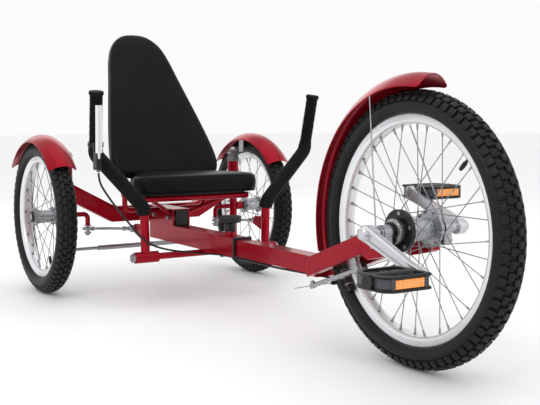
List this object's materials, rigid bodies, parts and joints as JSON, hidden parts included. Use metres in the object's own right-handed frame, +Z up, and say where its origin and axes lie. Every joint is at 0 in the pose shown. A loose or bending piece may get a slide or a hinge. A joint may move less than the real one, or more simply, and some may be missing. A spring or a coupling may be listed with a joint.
{
  "type": "recumbent adult tricycle",
  "caption": "Low recumbent tricycle with a large pedalled front wheel, padded seat, two lever handles that steer the rear wheels, fenders and a hand brake.",
  "frame": {"origin": "on the ground, under the middle of the tricycle's length and width", "axes": "+Z up, -Y forwards towards the pedalled wheel, +X to the rider's left"},
  "size_m": [0.712, 1.5539, 0.6974],
  "materials": {
    "red_paint": "deep red gloss paint over steel tube",
    "black_vinyl": "soft black vinyl with a fine grain",
    "black_board": "matt black moulded board",
    "black_plastic": "satin black moulded plastic",
    "grip_rubber": "black foam and ribbed rubber",
    "tyre_rubber": "black tyre rubber with a knobbly tread",
    "rim_silver": "pale silver satin rim",
    "spoke_steel": "bright drawn wire",
    "hub_alloy": "polished cast alloy",
    "crank_alloy": "polished forged alloy",
    "zinc_steel": "bright zinc plate",
    "cable_black": "black cable housing",
    "reflector_amber": "amber reflector"
  },
  "bodies": {
    "rear_frame": {"main_boom": "red_paint", "boom_caps": "black_plastic", "lever_cross_tube": "red_paint", "rear_axle_beam": "red_paint", "head_tubes": "red_paint", "seat_riser": "red_paint", "seat_frame": "red_paint", "frame_bolts": "zinc_steel", "seat_pan": "black_board", "seat_cushion": "black_vinyl", "back_shell": "black_board", "back_cushion": "black_vinyl", "cable_clips": "black_plastic", "brake_cable_rear": "cable_black", "brake_cable_front": "cable_black"},
    "front_frame": {"slider_tube": "red_paint", "fork_crossmember": "red_paint", "fork_blades": "red_paint", "axle_saddles": "red_paint", "bearing_housings": "hub_alloy", "front_fasteners": "zinc_steel", "front_fender": "red_paint", "fender_stays": "zinc_steel"},
    "clamp_knob": {"clamp_knob": "black_plastic"},
    "front_wheel": {"front_tyre": "tyre_rubber", "front_rim": "rim_silver", "front_spokes": "spoke_steel", "front_hub": "hub_alloy", "hub_drive_disc": "black_plastic"},
    "crankset": {"crank_spindle": "crank_alloy", "crank_arms": "crank_alloy", "pedal_spindles": "crank_alloy"},
    "pedal_right": {"pedal_right": "black_plastic"},
    "pedal_left": {"pedal_left": "black_plastic"},
    "tie_rod": {"tie_rod": "zinc_steel"},
    "brake_lever": {"brake_lever": "hub_alloy"},
    "knuckle_left": {"kingpin_left": "red_paint", "kingpin_hardware_left": "zinc_steel", "rear_fender_left": "red_paint"},
    "rear_wheel_left": {"rear_tyre_left": "tyre_rubber", "rear_rim_left": "rim_silver", "rear_spokes_left": "spoke_steel", "rear_hub_left": "hub_alloy"},
    "lever_left": {"steering_lever_left": "red_paint", "hand_grip_left": "grip_rubber"},
    "drag_link_left": {"drag_link_left": "zinc_steel"},
    "brake_arm_left": {"brake_arm_left": "hub_alloy"},
    "knuckle_right": {"kingpin_right": "red_paint", "kingpin_hardware_right": "zinc_steel", "rear_fender_right": "red_paint"},
    "rear_wheel_right": {"rear_tyre_right": "tyre_rubber", "rear_rim_right": "rim_silver", "rear_spokes_right": "spoke_steel", "rear_hub_right": "hub_alloy"},
    "lever_right": {"steering_lever_right": "red_paint", "hand_grip_right": "grip_rubber", "brake_bracket": "black_plastic"},
    "drag_link_right": {"drag_link_right": "zinc_steel"},
    "brake_arm_right": {"brake_arm_right": "hub_alloy"}
  },
  "joints": [
    {"name": "boom_slide", "type": "slide", "parent": "rear_frame", "child": "front_frame", "axis": [0, -1, 0], "range_m": [-0.1, 0.05], "deforming": ["brake_cable_front"]},
    {"name": "clamp_turn", "type": "hinge", "parent": "rear_frame", "child": "clamp_knob", "pos_m": [0, 0.149, 0.2], "axis": [0, 0, 1], "range_deg": [0, 360]},
    {"name": "front_wheel_spin", "type": "hinge", "parent": "front_frame", "child": "front_wheel", "pos_m": [0, -0.523, 0.254], "axis": [1, 0, 0], "continuous": true},
    {"name": "crank_spin", "type": "hinge", "parent": "front_frame", "child": "crankset", "pos_m": [0, -0.523, 0.254], "axis": [1, 0, 0], "continuous": true},
    {"name": "pedal_right_spin", "type": "hinge", "parent": "crankset", "child": "pedal_right", "pos_m": [-0.17, -0.6649, 0.19953], "axis": [1, 0, 0], "continuous": true},
    {"name": "pedal_left_spin", "type": "hinge", "parent": "crankset", "child": "pedal_left", "pos_m": [0.17, -0.3811, 0.30847], "axis": [1, 0, 0], "continuous": true},
    {"name": "steer_left", "type": "hinge", "parent": "rear_frame", "child": "knuckle_left", "pos_m": [0.256, 0.575, 0.28], "axis": [0, 0, 1], "range_deg": [-20, 20]},
    {"name": "steer_right", "type": "hinge", "parent": "rear_frame", "child": "knuckle_right", "pos_m": [-0.256, 0.575, 0.28], "axis": [0, 0, 1], "range_deg": [-20, 20]},
    {"name": "rear_wheel_left_spin", "type": "hinge", "parent": "knuckle_left", "child": "rear_wheel_left", "pos_m": [0.319, 0.575, 0.202], "axis": [1, 0, 0], "continuous": true},
    {"name": "rear_wheel_right_spin", "type": "hinge", "parent": "knuckle_right", "child": "rear_wheel_right", "pos_m": [-0.319, 0.575, 0.202], "axis": [1, 0, 0], "continuous": true},
    {"name": "tie_rod_pivot", "type": "hinge", "parent": "knuckle_left", "child": "tie_rod", "pos_m": [0.256, 0.625, 0.11], "axis": [0, 0, 1], "range_deg": [-20, 20]},
    {"name": "lever_left_pivot", "type": "hinge", "parent": "rear_frame", "child": "lever_left", "pos_m": [0.17, 0.263, 0.12], "axis": [1, 0, 0], "range_deg": [-17.5, 17.5]},
    {"name": "lever_right_pivot", "type": "hinge", "parent": "rear_frame", "child": "lever_right", "pos_m": [-0.17, 0.263, 0.12], "axis": [1, 0, 0], "range_deg": [-17.5, 17.5], "deforming": ["brake_cable_rear"]},
    {"name": "drag_link_left_pivot", "type": "hinge", "parent": "lever_left", "child": "drag_link_left", "pos_m": [0.174, 0.317, 0.186], "axis": [1, 0, 0], "range_deg": [-21, 21]},
    {"name": "drag_link_right_pivot", "type": "hinge", "parent": "lever_right", "child": "drag_link_right", "pos_m": [-0.174, 0.317, 0.186], "axis": [1, 0, 0], "range_deg": [-21, 21]},
    {"name": "brake_squeeze", "type": "hinge", "parent": "lever_right", "child": "brake_lever", "pos_m": [-0.306, 0.225, 0.368], "axis": [-1, 0, 0], "range_deg": [0, 5], "stiffness_Nm_per_rad": 1.5, "springref_deg": -5.73},
    {"name": "brake_arm_right_pivot", "type": "hinge", "parent": "front_frame", "child": "brake_arm_right", "pos_m": [-0.051, -0.4185, 0.1716], "axis": [0, -0.3579, -0.9338], "range_deg": [0, 1.6]},
    {"name": "brake_arm_left_pivot", "type": "hinge", "parent": "front_frame", "child": "brake_arm_left", "pos_m": [0.051, -0.4185, 0.1716], "axis": [0, 0.3579, 0.9338], "range_deg": [0, 1.6]}
  ],
  "couplings": [
    {"joint": "steer_right", "follows": "steer_left", "ratio": 1},
    {"joint": "tie_rod_pivot", "follows": "steer_left", "ratio": -1},
    {"joint": "lever_left_pivot", "follows": "steer_left", "ratio": 0.8575},
    {"joint": "lever_right_pivot", "follows": "steer_left", "ratio": -0.8575},
    {"joint": "drag_link_left_pivot", "follows": "steer_left", "ratio": -1.0317},
    {"joint": "drag_link_right_pivot", "follows": "steer_left", "ratio": 1.0317},
    {"joint": "brake_arm_right_pivot", "follows": "brake_squeeze", "ratio": 0.3},
    {"joint": "brake_arm_left_pivot", "follows": "brake_squeeze", "ratio": 0.3}
  ]
}
